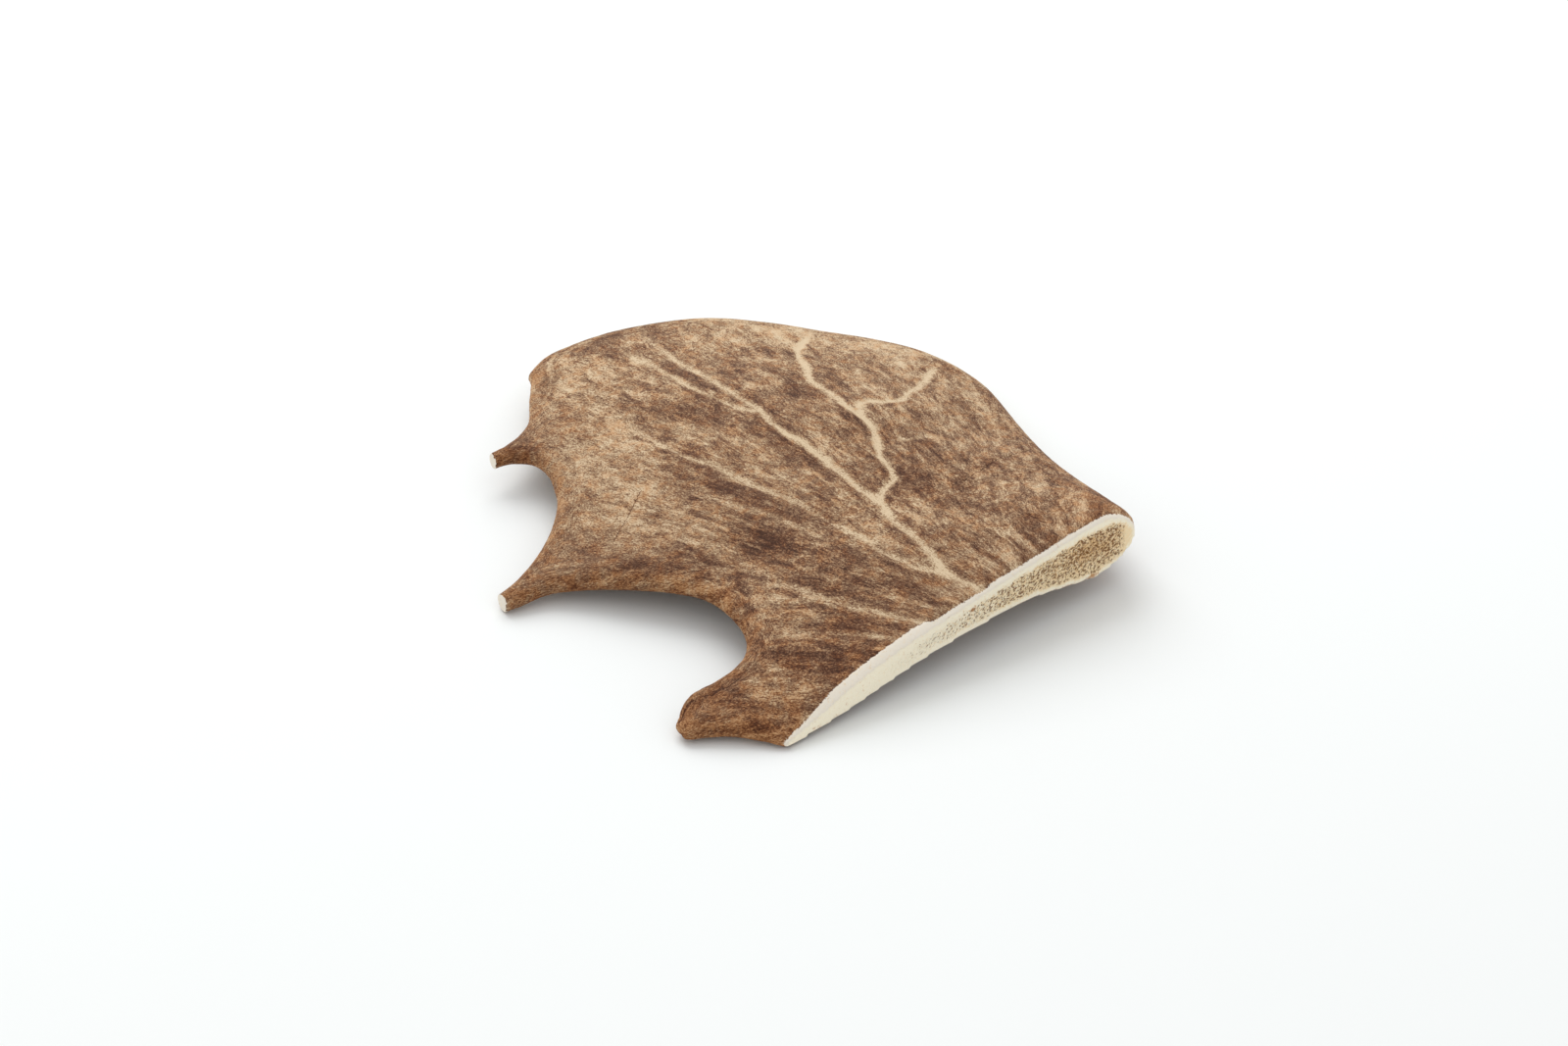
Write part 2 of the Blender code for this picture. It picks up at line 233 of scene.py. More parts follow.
def size(name, description, value):
    return FloatProperty(name=name, description=description, default=value * MM, min=0.0,
                         unit="LENGTH", precision=5)


class PalmSettings(bpy.types.PropertyGroup):
    """Sizes and colours of the antler."""

    net: size("Net", "Length of the faces that the surface is made of", 0.79)
    vessel_depth: size("Furrow depth", "Depth of the main blood-vessel furrow", 0.35)
    crack_depth: size("Crack depth", "Depth of the hairline cracks", 0.4)
    grain_depth: size("Grain depth", "Depth of the fibrous grain of the bark", 0.10)
    pore_depth: size("Pore depth", "Depth of the pores in the spongy bone", 0.4)
    pore_spacing: size("Pore spacing", "Distance between the pores of the spongy bone", 0.78)
    bevel: size("Bevel", "Width of the sanded bevel over the saw cut", 2.3)
    lower_bevel: size("Lower bevel", "Width of the bare bone under the saw cut", 0.75)
    bark_deep: colour("Deep bark", "Darkest flecks of the bark", shade(64, 38, 23))
    bark_dark: colour("Dark bark", "Dark patches of the bark", shade(88, 57, 38))
    bark: colour("Bark", "Middle tone of the bark", shade(118, 86, 65))
    bark_pale: colour("Pale bark", "Lighter bark between the patches", shade(148, 118, 88))
    bark_rubbed: colour("Rubbed bark", "Rubbed flecks and furrow linings", shade(179, 151, 119))
    bark_bright: colour("Bright bark", "Brightest flecks of the bark", shade(211, 189, 157))
    rim_deep: colour("Deep tan", "Darkest streaks of the tanned rims", shade(60, 30, 14))
    rim_dark: colour("Dark tan", "Dark streaks of the tanned rims", shade(90, 50, 27))
    rim: colour("Tan", "Rolled edges and tines", shade(122, 78, 47))
    rim_pale: colour("Pale tan", "Lighter streaks of the tanned rims", shade(158, 111, 72))
    rim_bright: colour("Bright tan", "Brightest flecks of the tanned rims", shade(194, 152, 110))
    bone: colour("Bone", "Compact bone of the saw cut", shade(248, 239, 216))
    sanded: colour("Sanded bone", "Bevel over the saw cut", shade(236, 227, 212))
    golden: colour("Spongy bone", "Walls of the spongy bone", shade(242, 216, 172))
    amber: colour("Amber bone", "Darker walls in the middle of the spongy bone", shade(212, 160, 94))
    pore: colour("Pore", "Hollows of the spongy bone", shade(112, 64, 22))
    stain: colour("Stain", "Brown stains on the saw cut", shade(176, 116, 60))


class StageSettings(bpy.types.PropertyGroup):
    """The studio around the antler."""

    floor: colour("Floor", "Colour of the floor", (0.86, 0.88, 0.875, 1.0))
    floor_radius: FloatProperty(name="Floor radius", description="Radius of the floor", default=4.0,
                                unit="LENGTH")
    sky: FloatProperty(name="Surrounding light", description="Brightness of the soft light all round",
                       default=0.82)
    lamp_power: FloatProperty(name="Lamp power", description="Power of the soft lamp", default=8.0,
                              unit="POWER")
    lamp_size: FloatProperty(name="Lamp size", description="Side of the soft lamp", default=1.0,
                             unit="LENGTH")
    lens: FloatProperty(name="Lens", description="Focal length in millimetres", default=85.0)


class Value:
    """A number in a finish; signs written between two of them add Math nodes."""

    def __init__(self, finish, socket):
        self.finish, self.socket = finish, socket

    def __add__(self, other):
        return self.finish.maths("ADD", self, other)

    def __radd__(self, other):
        return self.finish.maths("ADD", other, self)

    def __sub__(self, other):
        return self.finish.maths("SUBTRACT", self, other)

    def __rsub__(self, other):
        return self.finish.maths("SUBTRACT", other, self)

    def __mul__(self, other):
        return self.finish.maths("MULTIPLY", self, other)

    def __rmul__(self, other):
        return self.finish.maths("MULTIPLY", other, self)

    def __pow__(self, other):
        return self.finish.maths("POWER", self, other)


class Finish:
    """A material whose nodes are added one at a time."""

    def __init__(self, name):
        self.material = bpy.data.materials.new(name)
        self.material.use_nodes = True
        self.tree = self.material.node_tree
        self.tree.nodes.clear()

    def node(self, kind, settings=None, sockets=None, output=0):
        made = self.tree.nodes.new(kind)
        for name, setting in (settings or {}).items():
            if name == "stops":
                ramp = made.color_ramp.elements
                ramp[0].position, ramp[0].color = setting[0]
                ramp[1].position, ramp[1].color = setting[-1]
                for place, stop in setting[1:-1]:
                    ramp.new(place).color = stop
            else:
                setattr(made, name, setting)
        for name, value in (sockets or {}).items():
            if isinstance(value, Value):
                self.tree.links.new(value.socket, made.inputs[name])
            else:
                made.inputs[name].default_value = value
        return Value(self, made.outputs[output]) if made.outputs else None

    def maths(self, operation, *values):
        return self.node("ShaderNodeMath", {"operation": operation}, dict(enumerate(values)))

    def attribute(self, name, output="Fac"):
        return self.node("ShaderNodeAttribute", {"attribute_name": name}, output=output)

    def step(self, value, start, end):
        """0 below start, 1 above end, and a soft step between them."""
        return self.node("ShaderNodeMapRange", {"interpolation_type": "SMOOTHSTEP"},
                         {"Value": value, "From Min": start, "From Max": end})

    def mix(self, first, second, share):
        return self.node("ShaderNodeMix", {"data_type": "RGBA"},
                         {0: share, 6: first, 7: second}, output=2)

    def stretch(self, vector, scale):
        return self.node("ShaderNodeVectorMath", {"operation": "MULTIPLY"}, {0: vector, 1: scale})

    def noise(self, vector, scale, detail=2.0, roughness=0.5, distortion=0.0):
        return self.node("ShaderNodeTexNoise", None,
                         {"Vector": vector, "Scale": scale, "Detail": detail, "Roughness": roughness,
                          "Distortion": distortion})

    def blend(self, shares, noises):
        """Noises laid over each other by their shares, kept as lively where two of them meet."""
        total = sum((share * (one - 0.5) for share, one in zip(shares, noises)), 0.0)
        spread = sum((share * share for share in shares), 0.0)
        return total * spread ** -0.5


def distance_along(route, points):
    """How far each point is from a route, and how far along the route its nearest place is."""
    route = np.array(route, float)
    nearest = np.full(len(points), np.inf)
    run = np.zeros(len(points))
    start = 0.0
    for a, b in zip(route[:-1], route[1:]):
        way = b - a
        length = np.hypot(*way)
        share = np.clip(((points - a) @ way) / length ** 2, 0.0, 1.0)
        away = np.hypot(*(points - a - share[:, None] * way).T)
        closer = away < nearest
        nearest = np.where(closer, away, nearest)
        run = np.where(closer, start + share * length, run)
        start += length
    return nearest, run


def route_length(route):
    return np.hypot(*np.diff(np.array(route, float), axis=0).T).sum()


def beside(route, points):
    """Signed distance from a route, and a share that is 1 beside it and 0 beyond its ends."""
    away, run = distance_along(route, points)
    route = np.array(route, float)
    ends = np.concatenate([[0.0], np.cumsum(np.hypot(*np.diff(route, axis=0).T))])
    piece = np.clip(np.searchsorted(ends, run, side="right") - 1, 0, len(route) - 2)
    way, offset = (route[1:] - route[:-1])[piece], points - route[piece]
    left = way[:, 0] * offset[:, 1] - way[:, 1] * offset[:, 0]
    share = (run > 0.01) & (run < ends[-1] - 0.01) & (away < 1.6)
    return np.where(left > 0, away, -away), share.astype(float)


def cloudy(points, size_mm, octaves=3):
    """Soft noise from about -1 to 1 with blotches of a size."""
    return np.array([noise.fractal(Vector(p), 1.0, 2.0, octaves) for p in points / size_mm])


def soft_step(value, start, end):
    share = np.clip((value - start) / (end - start), 0.0, 1.0)
    return share * share * (3 - 2 * share)


def places_and_normals(mesh):
    places, normals = (np.empty(len(mesh.vertices) * 3) for _ in range(2))
    mesh.vertices.foreach_get("co", places)
    mesh.vertices.foreach_get("normal", normals)
    return places.reshape(-1, 3) / MM, normals.reshape(-1, 3)


def select_vertices(mesh, chosen):
    """Selects these vertices, and the faces and edges between them."""
    mesh.polygons.foreach_set("select", np.zeros(len(mesh.polygons), bool))
    mesh.edges.foreach_set("select", np.zeros(len(mesh.edges), bool))
    mesh.vertices.foreach_set("select", chosen)
    mesh.update()


def keep(mesh, name, values):
    """Stores a number or a place for each vertex, for the finish to read."""
    kind = "FLOAT_VECTOR" if values.ndim == 2 else "FLOAT"
    stored = mesh.attributes.new(name, kind, "POINT")
    stored.data.foreach_set("vector" if values.ndim == 2 else "value",
                            np.ascontiguousarray(values, np.float32).ravel())


def smoothed(mesh, values, rounds):
    """Each vertex's value drawn towards those of its neighbours, this many times over."""
    ends = np.empty(len(mesh.edges) * 2, np.int32)
    mesh.edges.foreach_get("vertices", ends)
    first, second = np.concatenate([ends.reshape(-1, 2), ends.reshape(-1, 2)[:, ::-1]]).T
    neighbours = np.bincount(first, minlength=len(values))
    for _ in range(rounds):
        around = np.bincount(first, values[second], minlength=len(values)) / neighbours
        values = 0.5 * (values + around)
    return values


def paint(piece, name, weights):
    """A vertex group with these weights."""
    group = piece.vertex_groups.new(name=name)
    for index in np.nonzero(weights > 0.001)[0]:
        group.add([int(index)], float(weights[index]), "REPLACE")
    return group


def apply_modifier(piece, kind, **settings):
    modifier = piece.modifiers.new(kind.title(), kind)
    for name, setting in settings.items():
        setattr(modifier, name, setting)
    bpy.ops.object.modifier_apply(modifier=modifier.name)


def copy_of_solid():
    """The solid's own mesh as a new piece, merged and free of the frame."""
    bpy.ops.object.select_all(action="DESELECT")
    solid = frame["nodes"][SOLID]
    solid.select_set(True)
    bpy.context.view_layer.objects.active = solid
    bpy.ops.object.duplicate()
    piece = bpy.context.view_layer.objects.active
    bpy.ops.object.parent_clear(type="CLEAR_KEEP_TRANSFORM")
    for key in list(piece.keys()):
        del piece[key]
    piece.name = piece.data.name = "palm_bark"
    piece.data.materials.clear()
    bpy.ops.object.mode_set(mode="EDIT")
    bpy.ops.mesh.select_all(action="SELECT")
    bpy.ops.mesh.remove_doubles(threshold=1e-6)
    bpy.ops.object.mode_set(mode="OBJECT")
    return piece


def even_surface(piece, settings):
    """Even small faces, smoothed where the palm is broad, with the saw cut flat and finely divided."""
    apply_modifier(piece, "REMESH", mode="VOXEL", voxel_size=settings.net, use_smooth_shade=True)
    places, _ = places_and_normals(piece.data)
    inward, _ = distance_along(EDGE, places[:, :2])
    paint(piece, "broad", soft_step(inward, 4.0, 12.0) * soft_step(places[:, 1] - CUT, 3.0, 6.0))
    apply_modifier(piece, "SMOOTH", factor=0.5, iterations=BROAD_ROUNDS, vertex_group="broad")
    places, _ = places_and_normals(piece.data)
    away_from_ends = np.ones(len(places))
    for middle, outward in TINE_ENDS.values():
        near = np.linalg.norm(places - middle, axis=1) < TINE_REACH
        behind = (middle - places) @ np.array(outward)
        away_from_ends[near] = soft_step(behind[near], 0.3, 2.0)
    paint(piece, "away from ends", away_from_ends)
    apply_modifier(piece, "SMOOTH", factor=0.5, iterations=WHOLE_ROUNDS, vertex_group="away from ends")
    places, normals = places_and_normals(piece.data)
    face = (places[:, 1] < CUT + 0.6 * settings.net / MM) & (normals[:, 1] < -0.8)
    select_vertices(piece.data, face)
    bpy.ops.object.mode_set(mode="EDIT")
    bpy.ops.transform.resize(value=(1, 0, 1), center_override=(0, CUT * MM, 0))
    bpy.ops.mesh.subdivide(number_cuts=FACE_CUTS)
    bpy.ops.object.mode_set(mode="OBJECT")
    for middle, outward in TINE_ENDS.values():
        saw_tine(piece, middle, outward)


def saw_tine(piece, middle, outward):
    """Cuts a tine's end off flat, with a narrow band inside the edge of the cut."""
    places, _ = places_and_normals(piece.data)
    select_vertices(piece.data, np.linalg.norm(places - middle, axis=1) < TINE_REACH + 1.0)
    bpy.ops.object.mode_set(mode="EDIT")
    plane = (Vector(middle) - TINE_TRIM * Vector(outward)) * MM
    bpy.ops.mesh.bisect(plane_co=plane, plane_no=outward, use_fill=True, clear_outer=True)
    bpy.ops.mesh.inset(thickness=0.25 * MM)
    bpy.ops.object.mode_set(mode="OBJECT")


def saw_face_heights(places):
    """The saw face's lower and upper edge at each millimetre across it."""
    on_face = places[np.abs(places[:, 1] - CUT) < 0.02]
    steps = np.arange(-62.0, 47.0, 1.0)
    columns = [on_face[np.abs(on_face[:, 0] - x) < 0.8, 2] for x in steps]
    low = np.array([column.min() if len(column) else np.nan for column in columns])
    high = np.array([column.max() if len(column) else np.nan for column in columns])
    return steps, low, high


def pores(places, settings):
    """How deep in a pore each place of the saw face is, from 0 to 1."""
    spacing = settings.pore_spacing / MM
    rise = spacing * 0.62
    dice = np.random.default_rng(7)
    across, up = np.meshgrid(np.arange(-64, 48, spacing), np.arange(-1, 24, rise))
    middles = np.column_stack([across.ravel(), up.ravel()])
    middles += dice.uniform(-0.45, 0.45, middles.shape) * (spacing, rise)
    reach = dice.uniform(0.12, 0.26, len(middles))
    turn = dice.normal(PORE_LEAN, 0.38, len(middles))
    tree = KDTree(len(middles))
    for index, (x, z) in enumerate(middles):
        tree.insert((x, z, 0), index)
    tree.balance()
    depth = np.zeros(len(places))
    for index in np.nonzero(places[:, 1] < CUT + 0.05)[0]:
        x, z = places[index, 0], places[index, 2]
        for (mx, mz, _), pore, _ in tree.find_n((x, z, 0), 4):
            along = (x - mx) * math.cos(turn[pore]) + (z - mz) * math.sin(turn[pore])
            across_pore = (z - mz) * math.cos(turn[pore]) - (x - mx) * math.sin(turn[pore])
            away = math.hypot(along / (PORE_LENGTH * reach[pore]), across_pore / reach[pore])
            depth[index] = max(depth[index], 1 - away ** 2)
    return np.clip(depth, 0, 1)


def fibre_places(mesh, places, inward, run):
    """Places along the fibres: they fan out from beyond the saw cut, and follow the edge near it."""
    fan = places[:, :2] - FAN_MIDDLE
    fan = np.column_stack([np.hypot(*fan.T), np.arctan2(fan[:, 0], fan[:, 1]), places[:, 2]])
    _, point_runs = distance_along(EDGE, np.array(POINTS_OF_EDGE, float))
    from_point = smoothed(mesh, np.abs(run[:, None] - point_runs).min(axis=1), 12)
    return fan, np.column_stack([from_point, inward, places[:, 2] + 0.5 * places[:, 1]])


def vessel_furrows(places, normals, inward, wander):
    """Share of the furrows' depth, distance to the nearest one, and that one's strength.

    The underside has furrows of its own: the same kind, set elsewhere.
    """
    upper = normals[:, 2] > -0.1
    plan = places[:, :2] + 0.6 * wander
    lower_plan = places[:, :2] * (-0.9, 1.0) + (12.0, 6.0) + 0.6 * wander
    furrow, strengths = np.zeros(len(places)), np.zeros(len(places))
    nearest = np.full(len(places), 99.0)
    for strength, width, fade, route in VESSELS:
        top, top_run = distance_along(route, plan)
        lower, lower_run = distance_along(route, lower_plan)
        away, run = np.where(upper, top, lower), np.where(upper, top_run, lower_run)
        if fade:
            strength = strength * (0.25 + 0.75 * soft_step(route_length(route) - run, 0, fade))
        furrow = np.maximum(furrow, strength * np.exp(-(away / (0.42 * width)) ** 2))
        strengths = np.where(away < nearest, strength, strengths)
        nearest = np.minimum(nearest, away)
    under = soft_step(-normals[:, 2], -0.2, 0.5)
    furrow *= 1 - under * (1 - soft_step(inward, 5, 12))
    furrow *= np.clip(0.94 + 0.32 * cloudy(places, 8.0, 3), 0.5, 1.0)
    return furrow, nearest, strengths


def hairline_cracks(places, normals, wander):
    """Signed distance from the nearest crack in its own widths, and 1 beside a crack."""
    crack, cracked = np.full(len(places), 9.0), np.zeros(len(places))
    for width, route in CRACKS:
        away, share = beside(route, places[:, :2] + 0.3 * wander)
        closer = (share > 0) & (np.abs(away / width) < np.abs(crack)) & (normals[:, 2] > 0.1)
        crack = np.where(closer, away / width, crack)
        cracked = np.where(closer, share, cracked)
    return crack, cracked


def bark_tone(places, inward, nearest_vessel, vessel_strength):
    """How much paler or darker the bark is: clouds, dark lining of the furrows, and a painted highlight
    of back light along the far edge.
    """
    plan = places[:, :2]
    tone = np.zeros(len(places))
    for x, y, across, along, amount in CLOUDS:
        middle = np.array((x, y), float)
        way = (middle - FAN_MIDDLE) / np.hypot(*(middle - FAN_MIDDLE))
        offset = plan - middle
        reach = ((offset @ way) / along) ** 2 + ((offset @ (way[1], -way[0])) / across) ** 2
        tone -= amount * np.exp(-reach)
    lining = np.exp(-((2.2 - nearest_vessel) / 1.2) ** 2) * vessel_strength
    # Painted highlight: the bark is made paler in a thin band along the far edge, where the light from
    # behind catches the rim.
    far_rim_highlight = (1 - soft_step(inward, 0.2, 2.2)) * soft_step(plan[:, 0] + plan[:, 1], 30, 60)
    return tone + 0.05 * cloudy(places, 16.0, 3) - 0.16 * lining + 0.3 * far_rim_highlight


def tanned_share(plan, inward):
    """How warm a brown the bark is: along the edge on the tines' side, and in places."""
    warm = 0.4 * (1 - soft_step(inward, 0.4, 5.0)) * soft_step(-plan[:, 0], -10, 20)
    for x, y, reach, amount in TANNED:
        warm += amount * np.exp(-((plan[:, 0] - x) ** 2 + (plan[:, 1] - y) ** 2) / reach ** 2)
    return warm


def inside_sawn(places, normals, settings):
    """How far inside sawn bone each vertex is: the saw cut with its bevel, and the tines' ends."""
    x = places[:, 0]
    bevel = np.where(normals[:, 2] > -0.2, settings.bevel / MM, settings.lower_bevel / MM)
    bevel *= (0.52 + 0.48 * soft_step(-x, 16, 20)) * (0.35 + 0.65 * soft_step(x, -62, -44))
    wavy = 0.25 * cloudy(places * (1, 0, 0), 7.0, 3)
    sawn = CUT + bevel + wavy - places[:, 1]
    for middle, outward in TINE_ENDS.values():
        near = np.linalg.norm(places - middle, axis=1) < TINE_REACH
        ahead = (places - middle) @ np.array(outward) + TINE_TRIM
        on_disc = (np.abs(ahead) < 0.03) | ((normals @ np.array(outward) > 0.75) & (ahead > -1.0))
        sawn = np.where(near, np.where(on_disc, 0.8, -0.8), sawn)
    return sawn


def saw_cut_marks(places, settings):
    """Spongy, golden and dense bone, stains and pores of the saw cut, each as a share."""
    x, y, z = places.T
    steps, low, high = saw_face_heights(places)
    above, below = z - np.interp(x, steps, low), np.interp(x, steps, high) - z
    rind = np.minimum(np.minimum(above / LOWER_RIND, below / UPPER_RIND), (THICK_END - x) / END_RIND)
    on_face = y < CUT + 0.3
    sponge = soft_step(rind, 0.55, 1.6) * soft_step(x, -62, 16) * soft_step(-x, -44.5, -41) * on_face
    golden = soft_step(rind, 0.1, 1.5) * soft_step(x, -34, 26) * on_face
    dense = np.exp(-((x - 32) / 13) ** 2 - ((z - 14.5) / 4.5) ** 2) * sponge
    stain = np.zeros(len(places))
    for across, up, reach, amount in STAINS:
        stain += amount * np.exp(-((x - across) / reach) ** 2 - ((z - up) / 0.7) ** 2)
    pore = pores(places, settings) * soft_step(sponge + 0.25 * cloudy(places, 2.2, 2), 0.12, 0.5)
    return {"sponge": sponge, "golden": golden, "dense": dense, "stain": stain * (y < CUT + 1.0),
            "pore": pore}


def mark_surface(piece, settings):
    """Stores what the finish reads, and carves furrows, cracks, grain, pores and dents."""
    mesh = piece.data
    places, normals = places_and_normals(mesh)
    inward, run = distance_along(EDGE, places[:, :2])
    wander = np.column_stack([cloudy(places + shift, 9.0, 2) + 0.4 * cloudy(places + shift, 2.2, 2)
                              for shift in (0.0, 50.0)])
    fan, rim = fibre_places(mesh, places, inward, run)
    furrow, nearest_vessel, vessel_strength = vessel_furrows(places, normals, inward, wander)
    crack, cracked = hairline_cracks(places, normals, wander)
    sawn = inside_sawn(places, normals, settings)
    cut = saw_cut_marks(places, settings)
    marks = {
        "fan": fan, "rim": rim, "vessel": furrow, "crack": crack, "cracked": cracked,
        "tone": bark_tone(places, inward, nearest_vessel, vessel_strength),
        "warm": tanned_share(places[:, :2], inward),
        "calm": soft_step(0.4 * places[:, 1] - places[:, 0], 28, 56),
        "sawn": np.clip(sawn, -5, 5), "behind_cut": places[:, 1] - CUT, **cut,
    }
    for name, values in marks.items():
        keep(mesh, name, values)

    bark = soft_step(-sawn, -0.1, 0.6)
    grain = 0.5 + 0.5 * cloudy(places * (1, 0.5, 1), 1.9, 2)
    depth = (settings.vessel_depth * furrow * bark
             + settings.crack_depth * np.exp(-(crack / 1.2) ** 2) * cracked * bark
             + settings.grain_depth * np.clip(grain, 0, 1) * soft_step(-sawn, 0.0, 4.0)
             + settings.pore_depth * cut["pore"] * soft_step(cut["sponge"], -0.2, 0.9))
    for middle, reach, deep in DENTS:
        depth += deep * MM * np.exp(-(np.linalg.norm(places - middle, axis=1) / reach) ** 2)
    paint(piece, "carved", depth / DEEPEST)
    apply_modifier(piece, "DISPLACE", vertex_group="carved", strength=-DEEPEST, mid_level=0.0,
                   direction="NORMAL")
    piece.vertex_groups.clear()


class Grain:
    """Noises laid along the antler's fibres: close to the edge, far out and near the saw cut."""

    def __init__(self, f):
        self.f = f
        fan, rim = f.attribute("fan", "Vector"), f.attribute("rim", "Vector")
        self.places = [f.stretch(rim, EDGE_FIBRES), f.stretch(fan, FAR_FIBRES),
                       f.stretch(fan, NEAR_FIBRES)]
        inward = f.node("ShaderNodeSeparateXYZ", None, {0: rim}, output=1)
        radius = f.node("ShaderNodeSeparateXYZ", None, {0: fan}, output=0)
        edge_share = 1 - f.step(inward, 2.5, 11.0)
        far_share = f.step(radius, 75.0, 110.0) * (1 - edge_share)
        self.shares = [edge_share, far_share, 1 - edge_share - far_share]

    def layer(self, scale, detail, roughness, distortion, along=1.0):
        """One noise, longer along the fibres where along is under 1."""
        stretched = [self.f.stretch(place, (along, 1.0, 1.0)) for place in self.places]
        return self.f.blend(self.shares, [self.f.noise(place, scale, detail, roughness, distortion)
                                          for place in stretched])


def bark_colour(f, s, patches, mottle, fuzz, blush):
    """Dark patches and fibres, pale furrows, and the warmer brown of the rims and tines."""
    vessel = f.attribute("vessel")
    crack = 1 - f.step(f.maths("ABSOLUTE", f.attribute("crack")) + fuzz * 0.8, 0.35, 1.0)
    crack = crack * f.attribute("cracked")
    tone = (patches * 1.2 + mottle * 2.9) * (1 - vessel * 0.65) * (1 - f.attribute("calm") * 0.45)
    tone = tone + fuzz * 3.3
    tone = 0.64 + f.attribute("tone") + tone + vessel * 0.90 - crack * 0.7
    spread_tone = (tone + 0.3) * (1 / 1.6)
    cool = f.node("ShaderNodeValToRGB", {"stops": [
        (0.0, s.bark_deep), (0.24, s.bark_dark), (0.45, s.bark), (0.65, s.bark_pale),
        (0.82, s.bark_rubbed), (1.0, s.bark_bright)]}, {0: spread_tone})
    tanned = f.node("ShaderNodeValToRGB", {"stops": [
        (0.0, s.rim_deep), (0.24, s.rim_dark), (0.45, s.rim), (0.68, s.rim_pale),
        (1.0, s.rim_bright)]}, {0: spread_tone})
    warm = f.attribute("warm") + blush * 3.2 + mottle * 0.6 - vessel * 0.7
    return f.mix(cool, tanned, f.step(warm, -0.4, 0.9))


def bone_colour(f, s, place, blush, speck):
    """Cream outer bone, its sanded bevel, the golden spongy middle, its pores and brown stains."""
    sponge = f.attribute("sponge")
    bone = f.mix(s.bone, s.sanded, f.step(f.attribute("behind_cut"), 0.05, 0.35))
    golden = f.step(f.attribute("golden") + speck * 2.2, 0.0, 1.1)
    bone = f.mix(bone, s.golden, golden * 0.9)
    dense = f.attribute("dense") + blush * 1.6
    amber = f.step(dense + speck * 1.5, 0.1, 1.2) * 0.55 * f.step(sponge, 0.0, 0.5)
    bone = f.mix(bone, s.amber, amber)
    stain = f.step(f.attribute("stain") + speck * 1.6 + blush * 2.0, 0.3, 1.0)
    bone = f.mix(bone, s.stain, stain * 0.8)
    slanted = f.node("ShaderNodeMapping", {"vector_type": "TEXTURE"},
                     {"Vector": place, "Rotation": (0.0, -0.7, 0.0), "Scale": (2.4, 1.0, 1.0)})
    hollow = f.noise(slanted, 3300.0, 1.0, 0.5) - 0.5
    hollow = hollow + f.attribute("pore") * 0.25 - (1 - sponge) * 0.3 + dense * 0.06
    hollow = f.step(hollow, 0.07, 0.16)
    return f.mix(bone, s.pore, hollow * 0.85 * f.step(sponge, 0.0, 0.85))


def antler_finish(s):
    """Fibrous brown bark over pale bone, with pale furrows and a sawn, spongy face."""
    f = Finish("antler bark and bone")
    grain = Grain(f)
    patches = grain.layer(0.19, 1.0, 0.5, 0.4, 0.5)
    mottle = grain.layer(0.45, 3.0, 0.8, 0.6, 0.7)
    fuzz = grain.layer(3.1, 2.0, 0.9, 0.3)
    place = f.node("ShaderNodeTexCoord", output="Object")
    blush = f.noise(place, 330.0, 3.0, 0.7, 0.5) - 0.5
    speck = f.noise(place, 1400.0, 2.0, 0.6) - 0.5

    sawn = f.step(f.attribute("sawn") + speck * 0.9 + fuzz * 0.6, -0.1, 0.1)
    surface = f.mix(bark_colour(f, s, patches, mottle, fuzz, blush),
                    bone_colour(f, s, place, blush, speck), sawn)
    height = mottle * 0.6 + fuzz + speck * sawn * 0.5
    bump = f.node("ShaderNodeBump", None, {"Strength": 0.6, "Distance": 0.00025, "Height": height})
    shader = f.node("ShaderNodeBsdfPrincipled", None,
                    {"Base Color": surface, "Roughness": 0.70 + sawn * 0.15 + mottle * 0.3,
                     "Normal": bump, "Specular IOR Level": 0.12})
    f.node("ShaderNodeOutputMaterial", None, {"Surface": shader})
    return f.material


def floor_finish(s):
    f = Finish("pale floor")
    place = f.node("ShaderNodeTexCoord", output="Object")
    speckle = f.noise(place, 40.0, 2.0)
    shader = f.node("ShaderNodeBsdfPrincipled", None,
                    {"Base Color": s.floor, "Roughness": 0.85 + (speckle - 0.5) * 0.1})
    f.node("ShaderNodeOutputMaterial", None, {"Surface": shader})
    return f.material


class ANTLER_OT_palm(bpy.types.Operator):
    """Add the sawn piece of antler palm"""

    bl_idname = "antler.palm"
    bl_label = "Antler palm"

    def execute(self, context):
        settings = context.scene.antler_palm_settings
        piece = copy_of_solid()
        even_surface(piece, settings)
        mark_surface(piece, settings)
        piece.data.materials.append(antler_finish(settings))
        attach(piece, "root")
        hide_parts(SOLID)
        return {"FINISHED"}


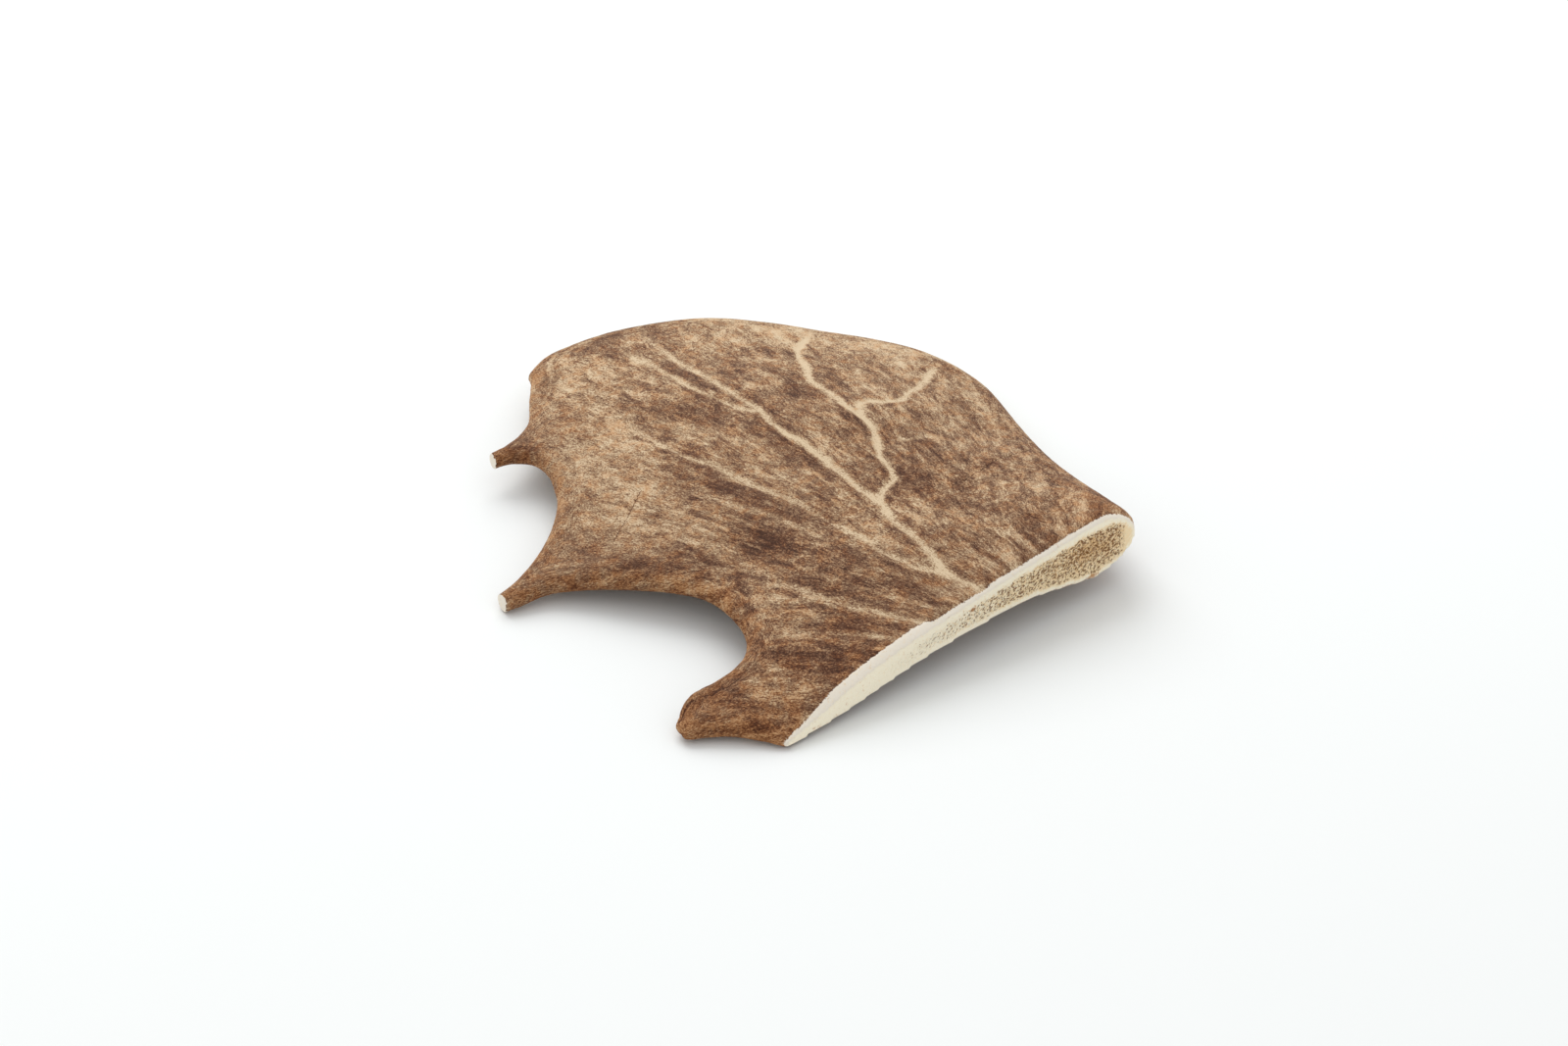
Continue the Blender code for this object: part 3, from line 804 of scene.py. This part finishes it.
class ANTLER_OT_stage(bpy.types.Operator):
    """Add the pale floor, the soft lights and the camera"""

    bl_idname = "antler.stage"
    bl_label = "Studio"

    def execute(self, context):
        settings = context.scene.antler_stage_settings
        bpy.ops.object.select_all(action="DESELECT")
        bpy.ops.mesh.primitive_circle_add(vertices=96, radius=settings.floor_radius, fill_type="NGON",
                                          location=(0, 0, 0))
        floor = context.view_layer.objects.active
        floor.name = "floor"
        floor.data.materials.append(floor_finish(settings))

        world = bpy.data.worlds.new("studio")
        world.use_nodes = True
        background = world.node_tree.nodes["Background"]
        background.inputs["Color"].default_value = (1.0, 1.0, 1.0, 1.0)
        background.inputs["Strength"].default_value = settings.sky
        context.scene.world = world

        lamp_place = Vector((0.25, 0.72, 0.90))
        bpy.ops.object.light_add(type="AREA", location=lamp_place,
                                 rotation=lamp_place.to_track_quat("Z", "Y").to_euler())
        lamp = context.view_layer.objects.active
        lamp.name = "soft lamp"
        lamp.data.energy = settings.lamp_power
        lamp.data.size = settings.lamp_size

        eye, target = Vector((-0.4995, -0.5930, 0.4801)), Vector((-0.0005, -0.0088, 0.0))
        gaze = (target - eye).to_track_quat("-Z", "Y").to_euler()
        bpy.ops.object.camera_add(location=eye, rotation=gaze)
        camera = context.view_layer.objects.active
        camera.data.lens = settings.lens
        camera.data.sensor_width = 36.0
        context.scene.camera = camera
        context.scene.view_settings.view_transform = "Standard"
        return {"FINISHED"}


class ANTLER_PT_panel(bpy.types.Panel):
    bl_idname = "ANTLER_PT_panel"
    bl_label = "Sawn antler palm"
    bl_space_type = "VIEW_3D"
    bl_region_type = "UI"
    bl_category = "Antler"

    def draw(self, context):
        for operator, settings in ((ANTLER_OT_palm, context.scene.antler_palm_settings),
                                   (ANTLER_OT_stage, context.scene.antler_stage_settings)):
            self.layout.operator(operator.bl_idname)
            for name in settings.__annotations__:
                self.layout.prop(settings, name)


CLASSES = (PalmSettings, StageSettings, ANTLER_OT_palm, ANTLER_OT_stage, ANTLER_PT_panel)


def register():
    for one in CLASSES:
        bpy.utils.register_class(one)
    bpy.types.Scene.antler_palm_settings = PointerProperty(type=PalmSettings)
    bpy.types.Scene.antler_stage_settings = PointerProperty(type=StageSettings)


def unregister():
    del bpy.types.Scene.antler_stage_settings
    del bpy.types.Scene.antler_palm_settings
    for one in reversed(CLASSES):
        bpy.utils.unregister_class(one)


def main():
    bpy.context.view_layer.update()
    register()
    bpy.ops.antler.palm()
    bpy.ops.antler.stage()


if __name__ == "__main__":
    main()
